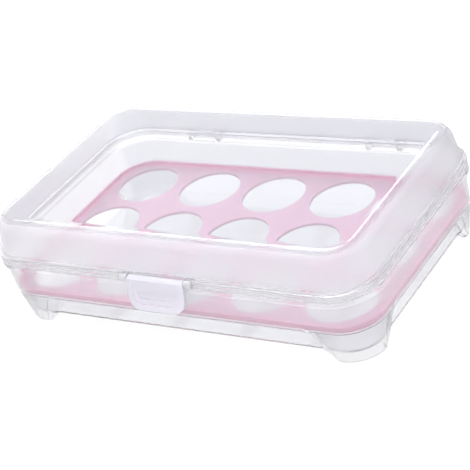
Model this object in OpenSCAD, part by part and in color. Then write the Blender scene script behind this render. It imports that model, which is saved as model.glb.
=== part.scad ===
// Egg keeper with a flip lid.
// A clear case carries a lift-out tray with round egg holes.
// The lid turns on two moulded knuckles at the back and is held by a tab at the front.
// The origin is the middle of the footprint on the table, +Z is up and the tab faces -Y.

/* [Egg grid] */
// Eggs along the length
columns = 5; // [3:1:6]
// Eggs across the depth
rows = 3; // [2:1:4]
// Distance between holes along the length
pitch_x = 45.6; // [44:0.2:50]
// Distance between holes across the depth
pitch_y = 44; // [43:0.2:50]
// Diameter of one egg hole
hole_d = 38.2; // [34:0.2:40]
// Flat margin of the tray beyond the end holes
edge_x = 7.6; // [6:0.2:12]
// Flat margin of the tray beyond the outer rows
edge_y = 6.4; // [5:0.2:10]

/* [Case] */
// Corner radius of the tray, which every wall follows
corner_r = 20; // [16:1:22]
// Thickness of the moulded walls
wall = 1.4; // [1.2:0.1:1.6]
// Clear height under the floor
floor_h = 4.4; // [4:0.1:6]
// Height of the ledge that carries the tray
seat_h = 20.3; // [18:0.1:22]
// Thickness of that ledge
ledge_t = 1.2; // [1:0.1:1.4]
// Width of that ledge, measured between the two walls
ledge_w = 3.4; // [3:0.1:4]
// Height of the face where lid and base meet
rim_h = 41; // [39:0.5:44]
// Height of the lid above that face
lid_h = 25.4; // [24:0.2:32]
// How far the rim stands out from the tray's outline
rim_out = 4.5; // [4.4:0.1:5]
// Height of the rim flange on the base
flange_h = 3.3; // [2.8:0.1:3.6]
// Height of the rim band on the lid
band_h = 4.7; // [4.6:0.1:5]
// Height of the lip that locates the lid
lip_h = 2.4; // [1.6:0.1:2.6]
// Radius of the lid's top edge
edge_r = 9; // [6:0.5:10]
// Bottom radius of the basin
basin_r = 2.5; // [1.5:0.5:3]

/* [Slopes] */
// Lean of the base wall from the ledge to the rim
wall_lean = 1.1; // [0.8:0.1:1.2]
// Lean of the feet from the ledge to the table
foot_lean = 3.6; // [2:0.1:3.6]
// Lean of the basin wall from the ledge to the floor
basin_lean = 2; // [1.8:0.1:3]
// Lean of the lid wall, millimetres per millimetre of height
lid_slope = 0.183; // [0.1:0.001:0.2]

/* [Feet] */
// Reach of a foot along the length at the ledge, from the tray's edge
foot_x = 30.9; // [28:0.1:34]
// Reach of a foot across the depth at the ledge, from the tray's edge
foot_y = 26.5; // [24:0.1:28]
// How much a foot narrows along the length on its way down
foot_cut_x = 9.4; // [8:0.2:10]
// How much a foot narrows across the depth on its way down
foot_cut_y = 8.8; // [6:0.2:9]
// How far the end wall of a foot slants along the case before it meets the basin
end_run = 7; // [5:0.5:8]
// Radius where a foot runs into the ledge
arch_r = 4; // [3:0.5:6]
// Radius of a foot's tip
tip_r = 2; // [1:0.5:3]

/* [Tray] */
// Thickness of the tray's sheet
tray_t = 1.4; // [1.2:0.1:1.6]
// Height of the tray's raised border above the sheet
border_h = 1.7; // [1:0.1:2]
// Thickness of that border
border_t = 1.3; // [1:0.1:1.6]
// Gap between tray and wall
tray_gap = 0.3; // [0.3:0.05:0.4]

/* [Hinge] */
// Distance of each hinge from the middle
hinge_x = 62; // [50:1:66]
// Width of a knuckle
knuckle_w = 16; // [12:1:20]
// Outer radius of knuckles and ears
knuckle_r = 3.4; // [3.2:0.1:3.6]
// Radius of the hinge pins
hinge_pin_r = 2; // [1.8:0.1:2]
// Thickness of an ear
ear_t = 3.2; // [2.5:0.1:4]
// Opening angle at which the heel meets the rim
open_angle = 110; // [100:1:115]

/* [Latch] */
// Width of the tab
tab_w = 36.6; // [30:0.2:40]
// Length of the tab below its pin
tab_l = 16.8; // [15:0.1:18]
// Tilt of the tab away from the case
tab_tilt = 14.5; // [12:0.5:16]
// Radius of the tab's barrel
barrel_r = 1.9; // [1.8:0.1:1.9]
// Radius of the tab's pins
tab_pin_r = 1; // [0.9:0.1:1.1]
// Width of the ears that hold the tab
tab_ear_w = 4.5; // [4:0.1:6]
// Thickness of the closed outer end of those ears
ear_skin = 1; // [0.8:0.1:1.2]
// Radius of the tab's lower corners
tab_corner_r = 8; // [5:0.5:9]
// Width of the raised edge round the tab's panel
tab_border = 3.4; // [3:0.2:4]
// Depth of that panel
panel_d = 0.4; // [0.3:0.05:0.5]
// Width of the finger scoop
scoop_w = 25; // [20:0.5:27]
// Depth of the finger scoop at its lower edge
scoop_d = 1.1; // [0.6:0.1:1.2]

/* [Fits] */
// Radial clearance of a pin in its bore
pin_gap = 0.05; // [0.03:0.01:0.09]
// Gap beside parts that turn
side_gap = 0.4; // [0.3:0.05:0.5]

/* [Hidden] */
$fn = 96;

// Half length, half depth and corner centre of the tray's outline
tray_x = pitch_x * (columns - 1) / 2 + hole_d / 2 + edge_x;
tray_y = pitch_y * (rows - 1) / 2 + hole_d / 2 + edge_y;
mid_x = tray_x - corner_r;
mid_y = tray_y - corner_r;

// Offsets of the walls from the tray's outline, outward positive
seat_in = tray_gap;
seat_out = tray_gap + wall;
neck_out = seat_out + wall_lean;
neck_in = neck_out - wall;
lip_out = rim_out - wall - 0.4;
foot_out = seat_out - foot_lean;
basin_out = seat_out - ledge_w;
basin_low = basin_out - basin_lean;
under_z = seat_h - ledge_t;

// Lid heights and offsets
top_z = rim_h + lid_h;
band_z = rim_h + band_h;
lid_out = rim_out - 2.3;
lid_top_out = lid_out - lid_slope * (top_z - band_z);
lid_skin = wall * sqrt(1 + lid_slope * lid_slope);

// Hinge axis, behind the rim and level with the meeting face
axis_y = tray_y + rim_out + knuckle_r + 0.5;
ear_in = knuckle_w / 2 + side_gap;
ear_out = ear_in + ear_t;

// Tab axis, just outside the rim
tab_y = -(tray_y + rim_out + 0.1);
tab_z = rim_h + barrel_r + 0.5;
tab_front = 2.4;
tab_back = 0.4;
pocket_out = -tab_y - tray_y - barrel_r - 0.3;
slot_x = tab_w / 2 + side_gap;
tab_end = slot_x + tab_ear_w;

// Points of an arc of radius r that rounds the corner b between a and c
function unit(v) = v / norm(v);
function corner(a, b, c, r, n = 6) =
    let (u = unit(a - b), w = unit(c - b))
    let (half = acos(u * w) / 2, d = r / tan(half))
    let (m = b + unit(u + w) * r / sin(half))
    let (s = b + u * d - m, e = b + w * d - m)
    let (t0 = atan2(s[1], s[0]), t1 = atan2(e[1], e[0]))
    let (turn = t1 - t0 > 180 ? t1 - t0 - 360 : (t1 - t0 < -180 ? t1 - t0 + 360 : t1 - t0))
    [for (i = [0:n]) m + r * [cos(t0 + turn * i / n), sin(t0 + turn * i / n)]];

// Outline of the case grown by an offset
module outline(grow) {
    square([2 * (tray_x + grow), 2 * mid_y], center = true);
    square([2 * mid_x, 2 * (tray_y + grow)], center = true);
    for (sx = [-1, 1], sy = [-1, 1])
        translate([sx * mid_x, sy * mid_y]) circle(r = corner_r + grow);
}

// Wall with one profile all the way round, drawn as offset and height
module around() {
    for (k = [0:3])
        translate([(k == 0 || k == 3 ? 1 : -1) * mid_x, (k < 2 ? 1 : -1) * mid_y, 0])
            rotate([0, 0, 90 * k])
                rotate_extrude(angle = 90) translate([corner_r, 0]) children();
    for (s = [0, 180]) {
        rotate([0, 0, s]) translate([tray_x, 0, 0])
            rotate([90, 0, 0]) linear_extrude(2 * mid_y, center = true) children();
        rotate([0, 0, s + 90]) translate([tray_y, 0, 0])
            rotate([90, 0, 0]) linear_extrude(2 * mid_x, center = true) children();
    }
}

// Cylinder along X, centred at a height and depth
module rod(r, x0, x1, y, z) {
    translate([x0, y, z]) rotate([0, 90, 0]) cylinder(r = r, h = x1 - x0);
}

// Cross-section of the base: rim, wall, ledge and basin
module base_profile() {
    polygon(concat(
        [[neck_in, rim_h + lip_h], [lip_out, rim_h + lip_h], [lip_out, rim_h]],
        corner([lip_out, rim_h], [rim_out, rim_h], [rim_out, rim_h - flange_h], 0.5, 2),
        corner([rim_out, rim_h], [rim_out, rim_h - flange_h], [neck_out, rim_h - flange_h], 0.5, 2),
        [[neck_out, rim_h - flange_h], [seat_out, under_z], [basin_out, under_z]],
        corner([basin_out, under_z], [basin_low, floor_h], [basin_low - 9, floor_h], basin_r, 4),
        [[basin_low - basin_r - 1, floor_h], [basin_low - basin_r - 1, floor_h + wall]],
        corner([basin_low - 9, floor_h + wall], [basin_low - wall, floor_h + wall],
               [basin_out - wall, seat_h], basin_r - 1, 3),
        [[basin_out - wall, seat_h], [seat_in, seat_h]]
    ));
}

// Cross-section of the skirt that the feet are cut from
module foot_profile() {
    polygon([
        [seat_out, under_z + 0.4],
        [seat_out, under_z],
        [foot_out, 0],
        [foot_out - wall, 0],
        [seat_in, under_z],
        [seat_in, under_z + 0.4]
    ]);
}

// Opening between two feet, seen from its own side
module arch(half, cut) {
    low = half + cut;
    side = [
        for (p = corner([low + 9, 0], [low, 0], [half, under_z], tip_r, 4)) p,
        for (p = corner([low, 0], [half, under_z], [0, under_z], arch_r, 8)) p
    ];
    polygon(concat(
        [[low + 9, -5]], [[low + 9, 0]], side,
        [for (i = [len(side) - 1:-1:0]) [-side[i][0], side[i][1]]],
        [[-low - 9, 0]], [[-low - 9, -5]]
    ));
}

// Space between the skirt and the basin, which the end walls of the feet fill
module end_profile() {
    polygon([
        [seat_out - 0.4, under_z + 0.4],
        [seat_out - 0.4, under_z],
        [foot_out - 0.4, 0],
        [foot_out - wall, 0],
        [basin_low - 0.4, floor_h + basin_r],
        [basin_out - 0.4, under_z],
        [basin_out - 0.4, under_z + 0.4]
    ]);
}

// Leaning end wall of a foot, for a wall of the case that runs along X through the origin
module foot_end(half, cut) {
    plan = atan(ledge_w / end_run);
    lean = atan((cut * sin(plan) + foot_lean * cos(plan)) / under_z);
    // Reach of the slab past the space that trims it
    back = 2 * end_run;
    ahead = 10;
    below = 6;
    above = 3;
    for (s = [0, 1]) mirror([s, 0, 0])
        translate([half, -seat_out, under_z]) rotate([0, 0, -plan]) rotate([lean, 0, 0])
            translate([-back, 0, -under_z - below])
                cube([back + ahead, wall, under_z + below + above]);
}

module feet() {
    half_x = tray_x - foot_x;
    half_y = tray_y - foot_y;
    difference() {
        around() foot_profile();
        rotate([90, 0, 0]) linear_extrude(4 * tray_y, center = true) arch(half_x, foot_cut_x);
        rotate([90, 0, 90]) linear_extrude(4 * tray_x, center = true) arch(half_y, foot_cut_y);
    }
    intersection() {
        around() end_profile();
        for (s = [0, 180]) rotate([0, 0, s]) {
            translate([0, -tray_y, 0]) foot_end(half_x, foot_cut_x);
            rotate([0, 0, 90]) translate([0, -tray_x, 0]) foot_end(half_y, foot_cut_y);
        }
    }
}

// Pair of ears with bores that hold one knuckle of the lid
module hinge_ears() {
    for (s = [-1, 1])
        difference() {
            union() {
                rod(knuckle_r, s < 0 ? -ear_out : ear_in, s < 0 ? -ear_in : ear_out, axis_y, rim_h);
                translate([s < 0 ? -ear_out : ear_in, tray_y + neck_out - 0.2, rim_h - flange_h])
                    cube([ear_t, axis_y - tray_y - neck_out + 0.2, flange_h]);
            }
            rod(hinge_pin_r + pin_gap, -ear_out - 1, ear_out + 1, axis_y, rim_h);
        }
}

module base() {
    color([0.90, 0.92, 0.96, 0.55]) {
        difference() {
            union() {
                around() base_profile();
                translate([0, 0, floor_h]) linear_extrude(wall) outline(basin_low - basin_r - 0.6);
            }
            // The lip stops behind the tab and its ears
            translate([-tab_end - side_gap, -tray_y - rim_out - 1, rim_h])
                cube([2 * (tab_end + side_gap), rim_out + 5, lip_h + 1]);
        }
        feet();
        for (s = [-1, 1]) translate([s * hinge_x, 0, 0]) hinge_ears();
    }
}

// Sheet with a raised border and the egg holes
module egg_tray() {
    color([0.93, 0.76, 0.85, 0.9])
        difference() {
            union() {
                translate([0, 0, seat_h]) linear_extrude(tray_t) outline(-border_t / 2);
                around() translate([0, seat_h]) polygon(concat(
                    corner([-border_t, 0], [0, 0], [0, 3], 0.4, 2),
                    corner([0, 0], [0, tray_t + border_h], [-border_t, tray_t + border_h], 0.4, 2),
                    corner([0, tray_t + border_h], [-border_t, tray_t + border_h],
                           [-border_t, 0], 0.4, 2),
                    [[-border_t, 0]]
                ));
            }
            for (i = [0:columns - 1], j = [0:rows - 1])
                translate([(i - (columns - 1) / 2) * pitch_x, (j - (rows - 1) / 2) * pitch_y, 0])
                    cylinder(d = hole_d, h = seat_h + tray_t + 5);
        }
}

// Cross-section of the lid: band, step, leaning wall and rounded top edge
module lid_profile() {
    inner_z = band_z - wall;
    inner_out = lid_out + lid_slope * wall - lid_skin;
    inward = lid_top_out - corner_r;
    polygon(concat(
        [[rim_out, rim_h]],
        corner([rim_out, rim_h], [rim_out, band_z], [lid_out, band_z], 0.6, 2),
        [[lid_out, band_z]],
        corner([lid_out, band_z], [lid_top_out, top_z], [inward, top_z], edge_r, 9),
        [[lid_top_out - edge_r, top_z], [lid_top_out - edge_r, top_z - wall]],
        corner([inward, top_z - wall],
               [lid_top_out - lid_skin + lid_slope * wall, top_z - wall],
               [inner_out, inner_z], edge_r - wall, 6),
        [[inner_out, inner_z], [rim_out - wall, inner_z], [rim_out - wall, rim_h]]
    ));
}

// Knuckle of the lid with its two pins and the heel that stops it
module hinge_knuckle() {
    heel = (knuckle_r + 0.43) / cos(36);
    turn = open_angle - 144;
    rod(knuckle_r, -knuckle_w / 2, knuckle_w / 2, axis_y, rim_h);
    rod(hinge_pin_r, -ear_out + 0.2, ear_out - 0.2, axis_y, rim_h);
    translate([-knuckle_w / 2, tray_y + rim_out - 0.8, rim_h])
        cube([knuckle_w, axis_y - tray_y - rim_out + 0.8, knuckle_r]);
    translate([-knuckle_w / 2 + 2, axis_y, rim_h]) rotate([90, 0, 90])
        linear_extrude(knuckle_w - 4) polygon([
            [0, 0],
            [knuckle_r * cos(turn - 45), knuckle_r * sin(turn - 45)],
            [heel * cos(turn), heel * sin(turn)],
            [knuckle_r * cos(turn + 45), knuckle_r * sin(turn + 45)]
        ]);
}

module lid() {
    color([0.90, 0.92, 0.97, 0.45]) {
        difference() {
            union() {
                difference() {
                    around() lid_profile();
                    translate([-slot_x, -tray_y - rim_out - 1, rim_h - 1])
                        cube([2 * slot_x, rim_out + 1 - pocket_out, band_h + 2]);
                }
                translate([0, 0, top_z - wall]) linear_extrude(wall)
                    outline(lid_top_out - edge_r + 0.4);
                // Wall behind the tab
                translate([-tab_end, -tray_y - pocket_out, rim_h])
                    cube([2 * tab_end, wall, band_h]);
                // Ears beside the tab
                for (s = [-1, 1]) {
                    x0 = s < 0 ? -tab_end : slot_x;
                    translate([x0, tab_y, rim_h])
                        cube([tab_ear_w, -tab_y - tray_y - pocket_out + wall, band_h]);
                    rod(barrel_r + 0.4, x0, x0 + tab_ear_w, tab_y, tab_z);
                }
            }
            for (s = [0, 1]) mirror([s, 0, 0])
                rod(tab_pin_r + pin_gap, slot_x - 0.1, tab_end - ear_skin, tab_y, tab_z);
        }
        for (s = [-1, 1]) translate([s * hinge_x, 0, 0]) hinge_knuckle();
    }
}

// Side view of the tab: distance down the tab and distance out from its pin
module tab_side() {
    polygon(concat(
        [[-0.9, 0]],
        corner([-0.9, 0], [-0.9, 1.6], [0, tab_front], 0.6, 3),
        [[0, tab_front], [tab_l * 0.66, tab_front]],
        corner([tab_l * 0.66, tab_front], [tab_l, tab_front + 0.7], [tab_l, -0.3], 0.5, 3),
        [[tab_l, -0.3], [1.2, -0.3]]
    ));
}

// Front view of the tab: half width and distance down the tab
module tab_front_view(inset) {
    w = tab_w / 2 - inset;
    low = tab_l - inset;
    r = tab_corner_r - inset;
    side = corner([w, 0], [w, low], [0, low], r, 8);
    polygon(concat(
        [[w, -3]], side,
        [for (i = [len(side) - 1:-1:0]) [-side[i][0], side[i][1]]],
        [[-w, -3]]
    ));
}

// Shallow panel inside the raised edge of the tab
module tab_panel() {
    w = tab_w / 2 - tab_border;
    top = 1.6;
    low = tab_l - tab_border;
    high_corner = corner([w, low], [w, top], [0, top], 1.5, 4);
    low_corner = corner([0, low], [w, low], [w, top], tab_corner_r - tab_border, 6);
    side = concat(low_corner, high_corner);
    translate([0, 0, tab_front - panel_d]) linear_extrude(5) polygon(concat(
        side,
        [for (i = [len(side) - 1:-1:0]) [-side[i][0], side[i][1]]]
    ));
}

// Finger scoop: a U outline with its deep end at the bottom
module scoop() {
    w = scoop_w / 2;
    side = corner([w, 0], [w, 7], [0, 7], 4, 6);
    translate([0, 3.6, tab_front]) rotate([-atan(scoop_d / 7), 0, 0])
        linear_extrude(5) polygon(concat(
            [[w, 0]], side,
            [for (i = [len(side) - 1:-1:0]) [-side[i][0], side[i][1]]],
            [[-w, 0]]
        ));
}

module latch() {
    color([0.86, 0.86, 0.94, 0.8])
        translate([0, tab_y, tab_z]) {
            // Tab in its own frame: X along the pin, Y down the tab, Z out from it
            rotate([90 - tab_tilt, 0, 0]) mirror([0, 1, 0]) {
                difference() {
                    intersection() {
                        rotate([90, 0, 90]) linear_extrude(tab_w + 2, center = true) tab_side();
                        translate([0, 0, -2]) linear_extrude(8) tab_front_view(0);
                    }
                    intersection() {
                        translate([0, 0, -2]) linear_extrude(2 + tab_back) tab_front_view(1.3);
                        translate([-tab_w, 2.4, -3]) cube([2 * tab_w, tab_l, 6]);
                    }
                    tab_panel();
                    scoop();
                }
            }
            rod(barrel_r, side_gap - tab_w / 2, tab_w / 2 - side_gap, 0, 0);
            rod(tab_pin_r, -tab_end + ear_skin + 0.2, tab_end - ear_skin - 0.2, 0, 0);
            // Bead that snaps below the rim flange
            nose_z = -(tab_z - rim_h + flange_h + 0.4);
            translate([-tab_w / 2 + 5, 0, 0]) rotate([90, 0, 90]) linear_extrude(tab_w - 10)
                polygon([
                    [-0.25, nose_z],
                    [-0.25, nose_z - 0.5],
                    [-3.4, nose_z - 1.8],
                    [-3.4, nose_z]
                ]);
        }
}

base();
egg_tray();
lid();
latch();
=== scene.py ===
from math import radians

import bpy
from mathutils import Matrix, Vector


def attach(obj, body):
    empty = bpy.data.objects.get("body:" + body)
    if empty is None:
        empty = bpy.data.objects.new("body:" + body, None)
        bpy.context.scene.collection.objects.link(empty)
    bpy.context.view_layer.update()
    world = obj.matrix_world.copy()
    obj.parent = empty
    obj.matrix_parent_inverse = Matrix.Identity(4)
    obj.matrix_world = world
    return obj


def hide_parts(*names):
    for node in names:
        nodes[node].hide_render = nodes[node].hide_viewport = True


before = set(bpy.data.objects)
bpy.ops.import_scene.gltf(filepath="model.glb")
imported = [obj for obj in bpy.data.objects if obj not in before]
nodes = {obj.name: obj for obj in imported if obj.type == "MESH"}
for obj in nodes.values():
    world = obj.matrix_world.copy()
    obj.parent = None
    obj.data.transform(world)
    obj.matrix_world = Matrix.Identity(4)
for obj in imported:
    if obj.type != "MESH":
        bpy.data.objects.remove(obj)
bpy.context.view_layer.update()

# Heights of the ledge that carries the tray and of the face where lid and base meet
ledge_z = 0.0203
rim_z = 0.0410

# The tray's outline: half its sides, its corner radius, and how wide its raised border is
half_x = 0.1179
half_y = 0.0695
corner_r = 0.0200
border_w = 0.0013

# Film of air between two hard mouldings, and between the feet and the floor
air = 0.00004
floor_gap = 0.0001

# Tint of the floor and of what is low at the back, painted darker as shade; tint of the feet, painted
# greyer as shade; and the colours of the haze, the feet's haze painted darker as shade
painted_shade_tint = (0.84, 0.85, 0.885)
foot_shade_tint = (0.95, 0.95, 0.97)
haze_colour = (0.90, 0.89, 0.93)
foot_shade_haze_colour = (0.86, 0.86, 0.89)


# Camera, measured from the rims of twelve egg holes, the straight edges and the corner curves
camera = bpy.data.cameras.new("camera")
camera.lens = 118.0
camera.sensor_width = 36.0
camera.clip_start = 0.02
viewer = bpy.data.objects.new("camera", camera)
viewer.location = (0.47561, -0.58191, 0.45284)
viewer.rotation_euler = (radians(59.1854), radians(14.4328), radians(30.8520))
bpy.context.scene.collection.objects.link(viewer)
bpy.context.scene.camera = viewer


class Socket:
    """A node's output that takes part in sums."""

    def __init__(self, maker, out):
        self.maker = maker
        self.out = out

    def sum(self, operation, *others, turned=False):
        values = [self, *others]
        if turned:
            values.reverse()
        return self.maker.node("ShaderNodeMath", {"operation": operation}, dict(enumerate(values)))

    def __add__(self, other):
        return self.sum("ADD", other)

    def __radd__(self, other):
        return self.sum("ADD", other)

    def __sub__(self, other):
        return self.sum("SUBTRACT", other)

    def __rsub__(self, other):
        return self.sum("SUBTRACT", other, turned=True)

    def __mul__(self, other):
        return self.sum("MULTIPLY", other)

    def __rmul__(self, other):
        return self.sum("MULTIPLY", other)

    def __abs__(self):
        return self.sum("ABSOLUTE")

    def least(self, other):
        return self.sum("MINIMUM", other)

    def most(self, other):
        return self.sum("MAXIMUM", other)


def fade(mask, low, high):
    """Goes from one number to another as the mask goes from 0 to 1."""
    return low + mask * (high - low)


class Finish:
    """A material whose nodes are made one by one."""

    def __init__(self, name):
        self.material = bpy.data.materials.new(name)
        self.material.use_nodes = True
        self.tree = self.material.node_tree
        self.shader = self.tree.nodes["Principled BSDF"]
        self.place = self.node("ShaderNodeTexCoord", {}, {}, "Object")

    def node(self, kind, settings, values, output=0):
        made = self.tree.nodes.new(kind)
        for name, value in settings.items():
            setattr(made, name, value)
        for key, value in values.items():
            if isinstance(value, Socket):
                self.tree.links.new(value.out, made.inputs[key])
            else:
                made.inputs[key].default_value = value
        return Socket(self, made.outputs[output])

    def set(self, **values):
        """Puts plain values or sockets on the surface shader."""
        for name, value in values.items():
            socket = self.shader.inputs[name.replace("_", " ")]
            if isinstance(value, Socket):
                self.tree.links.new(value.out, socket)
            else:
                socket.default_value = value

    def blend_in(self, share, other):
        """Mixes another shader into the surface shader."""
        surface = Socket(self, self.shader.outputs[0])
        mixed = self.node("ShaderNodeMixShader", {}, {0: share, 1: surface, 2: other})
        self.tree.links.new(mixed.out, self.tree.nodes["Material Output"].inputs[0])

    def along(self, axis):
        """The place along x, y or z, in metres."""
        return self.node("ShaderNodeSeparateXYZ", {}, {0: self.place}, "XYZ".index(axis))

    def outward(self):
        """Distance from the rectangle on which the centres of the rounded corners lie."""
        past_x = (abs(self.along("X")) - (half_x - corner_r)).most(0)
        past_y = (abs(self.along("Y")) - (half_y - corner_r)).most(0)
        reach = self.node("ShaderNodeCombineXYZ", {}, {0: past_x, 1: past_y})
        return self.node("ShaderNodeVectorMath", {"operation": "LENGTH"}, {0: reach}, 1)

    def noise(self, scale, detail, roughness, stretch=(1, 1, 1)):
        seen = self.node("ShaderNodeMapping", {}, {"Vector": self.place, "Scale": stretch})
        return self.node("ShaderNodeTexNoise", {}, {"Vector": seen, "Scale": scale, "Detail": detail,
                                                    "Roughness": roughness})

    def span(self, value, low, high):
        """A soft step from 0 to 1 between two values."""
        return self.node("ShaderNodeMapRange", {"interpolation_type": "SMOOTHSTEP"},
                         {"Value": value, "From Min": low, "From Max": high})

    def mix(self, share, first, second):
        """Mixes two colours, each a socket or red, green and blue."""
        first, second = [c if isinstance(c, Socket) else (*c, 1) for c in (first, second)]
        return self.node("ShaderNodeMix", {"data_type": "RGBA"}, {0: share, 6: first, 7: second}, 2)

    def bump(self, height, strength, distance):
        self.set(Normal=self.node("ShaderNodeBump", {}, {"Strength": strength, "Distance": distance,
                                                         "Height": height}))


def clear_plastic(name, wall_from, wall_to, wall_rough, top_rough, milk, tint):
    """Moulded clear plastic: hazy and softly frosted on its walls, polished above and below them."""
    made = Finish(name)
    depth = made.along("Y")
    height = made.along("Z")
    grain = made.noise(900, 3, 0.6)
    wear = made.noise(60, 4, 0.6)

    # Where the walls, the feet's leaning skirt and the bands at the rim are
    over_ledge = made.span(height, wall_from, wall_from + 0.0015)
    under_top = 1 - made.span(height, wall_to - 0.0012, wall_to)
    skirt = made.span(made.outward() - corner_r - 0.188 * height, -0.0038, -0.0034)
    foot = skirt * (1 - over_ledge)
    band = made.span(height, 0.036, 0.038)

    polish = fade(under_top, top_rough, fade(band, 0.06, 0.16)) + 0.03 * wear
    frosted = wall_rough + 0.08 * grain + 0.04 * wear
    frost = (over_ledge * under_top + foot).least(1)

    # Painted shade: the case's floor and what is low at the back take a darker tint
    above_floor = made.span(height, 0.0062, 0.0070)
    at_back = made.span(depth, 0.050, 0.055)
    low_tint = made.mix(at_back, made.mix(above_floor, painted_shade_tint, tint["low"]), painted_shade_tint)
    # Painted shade: the feet take a greyer tint than the rest of the case
    low_tint = made.mix(foot, low_tint, foot_shade_tint)
    # Painted shade: walls towards the back take the darker rear tint
    wall_tint = made.mix(made.span(depth, 0.055, 0.062), tint["wall"], tint["rear"])
    made.set(Base_Color=made.mix(under_top, tint["top"], made.mix(over_ledge, low_tint, wall_tint)),
             Transmission_Weight=1.0, IOR=1.49, Roughness=fade(frost, polish, frosted))
    made.bump(made.noise(45, 2, 0.5), 0.03, 0.0004)

    # The haze thins towards the back and just under the lid's rounded top edge
    wall_milk = fade(made.span(depth, -0.06, 0.07), milk["front"], milk["rear"]) + 0.05 * wear
    wall_milk = wall_milk - 0.10 * made.span(height, 0.055, 0.063)
    clearer = 1 - 0.7 * made.span(depth, 0.045, 0.065)
    low_milk = fade(band, milk["low"], milk["band"] * clearer) + 0.14 * foot
    share = fade(under_top, milk["top"] * clearer, fade(over_ledge, low_milk, wall_milk))
    # Painted shade: the feet's haze is darker than the walls' haze
    made.blend_in(share, made.node("ShaderNodeBsdfPrincipled", {}, {
        "Base Color": made.mix(foot, haze_colour, foot_shade_haze_colour), "Roughness": 0.4}))
    return made.material


def pink_plastic():
    """Pale pink plastic, with a deeper pink painted as shade on its border and on the deck just
    inside it.
    """
    made = Finish("pink plastic")
    # Painted shade: the border, and a 5 mm strip of deck inside it, are coloured a deeper pink
    rim = made.span(made.outward(), corner_r - border_w - 0.005, corner_r - border_w)
    flow = made.noise(14, 3, 0.55, (1, 1, 2))
    grain = made.noise(1400, 2, 0.6)
    deck = made.mix(flow, (0.72, 0.45, 0.59), (0.74, 0.48, 0.62))
    made.set(Base_Color=made.mix(rim, deck, (0.90, 0.43, 0.62)),
             Roughness=0.34 + 0.10 * grain, Specular_IOR_Level=0.5,
             Subsurface_Weight=0.25, Subsurface_Radius=(0.004, 0.002, 0.0025), Subsurface_Scale=1.0)
    made.bump(grain, 0.10, 0.0001)
    return made.material


def lavender_plastic():
    """Milky lavender plastic that lets some light through."""
    made = Finish("lavender plastic")
    flow = made.noise(60, 3, 0.55)
    grain = made.noise(1500, 2, 0.6)
    made.set(Base_Color=made.mix(flow, (0.89, 0.88, 0.96), (0.93, 0.92, 0.98)),
             Roughness=0.30 + 0.10 * grain, Transmission_Weight=0.55, IOR=1.49)
    made.bump(grain, 0.08, 0.0001)
    return made.material


def edit(piece):
    """Opens one piece in edit mode with all of it selected."""
    bpy.ops.object.select_all(action="DESELECT")
    piece.select_set(True)
    bpy.context.view_layer.objects.active = piece
    bpy.ops.object.mode_set(mode="EDIT")
    bpy.ops.mesh.select_all(action="SELECT")


def done():
    bpy.ops.object.mode_set(mode="OBJECT")


def merged_copy(node, name, material, body):
    """A copy of a CAD node with its loose triangles merged and its curves shaded smooth."""
    piece = bpy.data.objects.new(name, nodes[node].data.copy())
    bpy.context.scene.collection.objects.link(piece)
    piece.data.materials.clear()
    piece.data.materials.append(material)
    edit(piece)
    bpy.ops.mesh.customdata_custom_splitnormals_clear()
    bpy.ops.mesh.remove_doubles(threshold=0.000002)
    bpy.ops.mesh.dissolve_limited(angle_limit=radians(0.4))
    done()
    bpy.ops.object.shade_smooth_by_angle(angle=radians(32))
    level = piece.modifiers.new("normals", "WEIGHTED_NORMAL")
    level.keep_sharp = True
    bpy.ops.object.modifier_apply(modifier=level.name)
    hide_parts(node)
    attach(piece, body)
    return piece


def part_contact(piece, height):
    """Lifts the points of a contact face off the piece below, so that light meets the air between."""
    edit(piece)
    bpy.ops.mesh.select_mode(type="VERT")
    bpy.ops.mesh.select_all(action="DESELECT")
    done()
    for point in piece.data.vertices:
        point.select = abs(point.co.z - height) < 0.000002
    bpy.ops.object.mode_set(mode="EDIT")
    bpy.ops.transform.translate(value=(0, 0, air))
    done()


# In both finishes below, the darker rear tint is painted shade on the walls at the back
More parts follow.
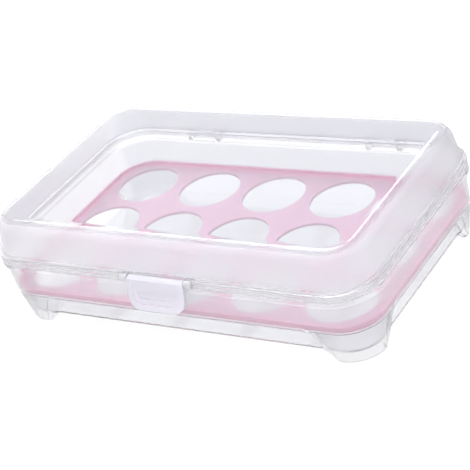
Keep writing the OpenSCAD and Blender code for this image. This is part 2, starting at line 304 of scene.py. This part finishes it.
case_finish = clear_plastic(
    "clear case", wall_from=0.0210, wall_to=0.0375, wall_rough=0.14, top_rough=0.09,
    milk={"low": 0.012, "front": 0.13, "rear": 0.10, "band": 0.12, "top": 0.20},
    tint={"low": (0.985, 0.985, 0.992), "wall": (0.975, 0.965, 0.98),
          "rear": (0.82, 0.84, 0.87), "top": (0.993, 0.988, 0.996)})
lid_finish = clear_plastic(
    "clear lid", wall_from=0.0455, wall_to=0.0650, wall_rough=0.24, top_rough=0.02,
    milk={"low": 0.22, "front": 0.36, "rear": 0.12, "band": 0.22, "top": 0.02},
    tint={"low": (0.993, 0.988, 0.996), "wall": (0.925, 0.92, 0.95),
          "rear": (0.76, 0.77, 0.81), "top": (0.93, 0.94, 0.965)})
case = merged_copy("base", "case", case_finish, "base")
tray = merged_copy("egg_tray", "tray", pink_plastic(), "egg_tray")
cover = merged_copy("lid", "cover", lid_finish, "lid")
tab = merged_copy("latch", "tab", lavender_plastic(), "latch")
part_contact(tray, ledge_z)
part_contact(cover, rim_z)

# Floor and light
bpy.ops.object.select_all(action="DESELECT")
bpy.ops.mesh.primitive_plane_add(size=12, location=(0, 0, -floor_gap))
floor = bpy.context.object
floor.name = "floor"
ground = Finish("pale floor")
ground.set(Base_Color=(0.08, 0.08, 0.08, 1), Roughness=0.9, Emission_Color=(1, 1, 1, 1),
           Emission_Strength=0.93)
floor.data.materials.append(ground.material)

scene = bpy.context.scene
scene.world = bpy.data.worlds.new("studio")
scene.world.use_nodes = True
backdrop = scene.world.node_tree.nodes["Background"]
backdrop.inputs["Color"].default_value = (1, 1, 1, 1)
backdrop.inputs["Strength"].default_value = 1.32
scene.view_settings.view_transform = "Standard"
scene.cycles.transmission_bounces = 96
scene.cycles.glossy_bounces = 96
scene.cycles.diffuse_bounces = 8
scene.cycles.max_bounces = 96


def softbox(name, place, aim, size, power):
    lamp = bpy.data.lights.new(name, "AREA")
    lamp.shape = "RECTANGLE"
    lamp.size, lamp.size_y = size
    lamp.energy = power
    holder = bpy.data.objects.new(name, lamp)
    holder.location = place
    holder.rotation_euler = (Vector(aim) - Vector(place)).to_track_quat("-Z", "Y").to_euler()
    scene.collection.objects.link(holder)
    return holder


key = softbox("key", (-0.3, 0.15, 0.95), (0, 0, 0.03), (0.6, 0.6), 5)
key.visible_glossy = False
# Strips that draw the bright lines along the lid's front and right edges
for name, place, size, power in (("right strip", (-0.06, 0.68, 0.79), (0.12, 0.45), 1.2),
                                 ("corner strip", (-0.15, 0.27, 1.01), (0.45, 0.12), 1.1),
                                 ("front strip", (-0.56, 0.15, 0.88), (0.12, 0.45), 1.2)):
    softbox(name, place, (0, 0, 0.06), size, power)
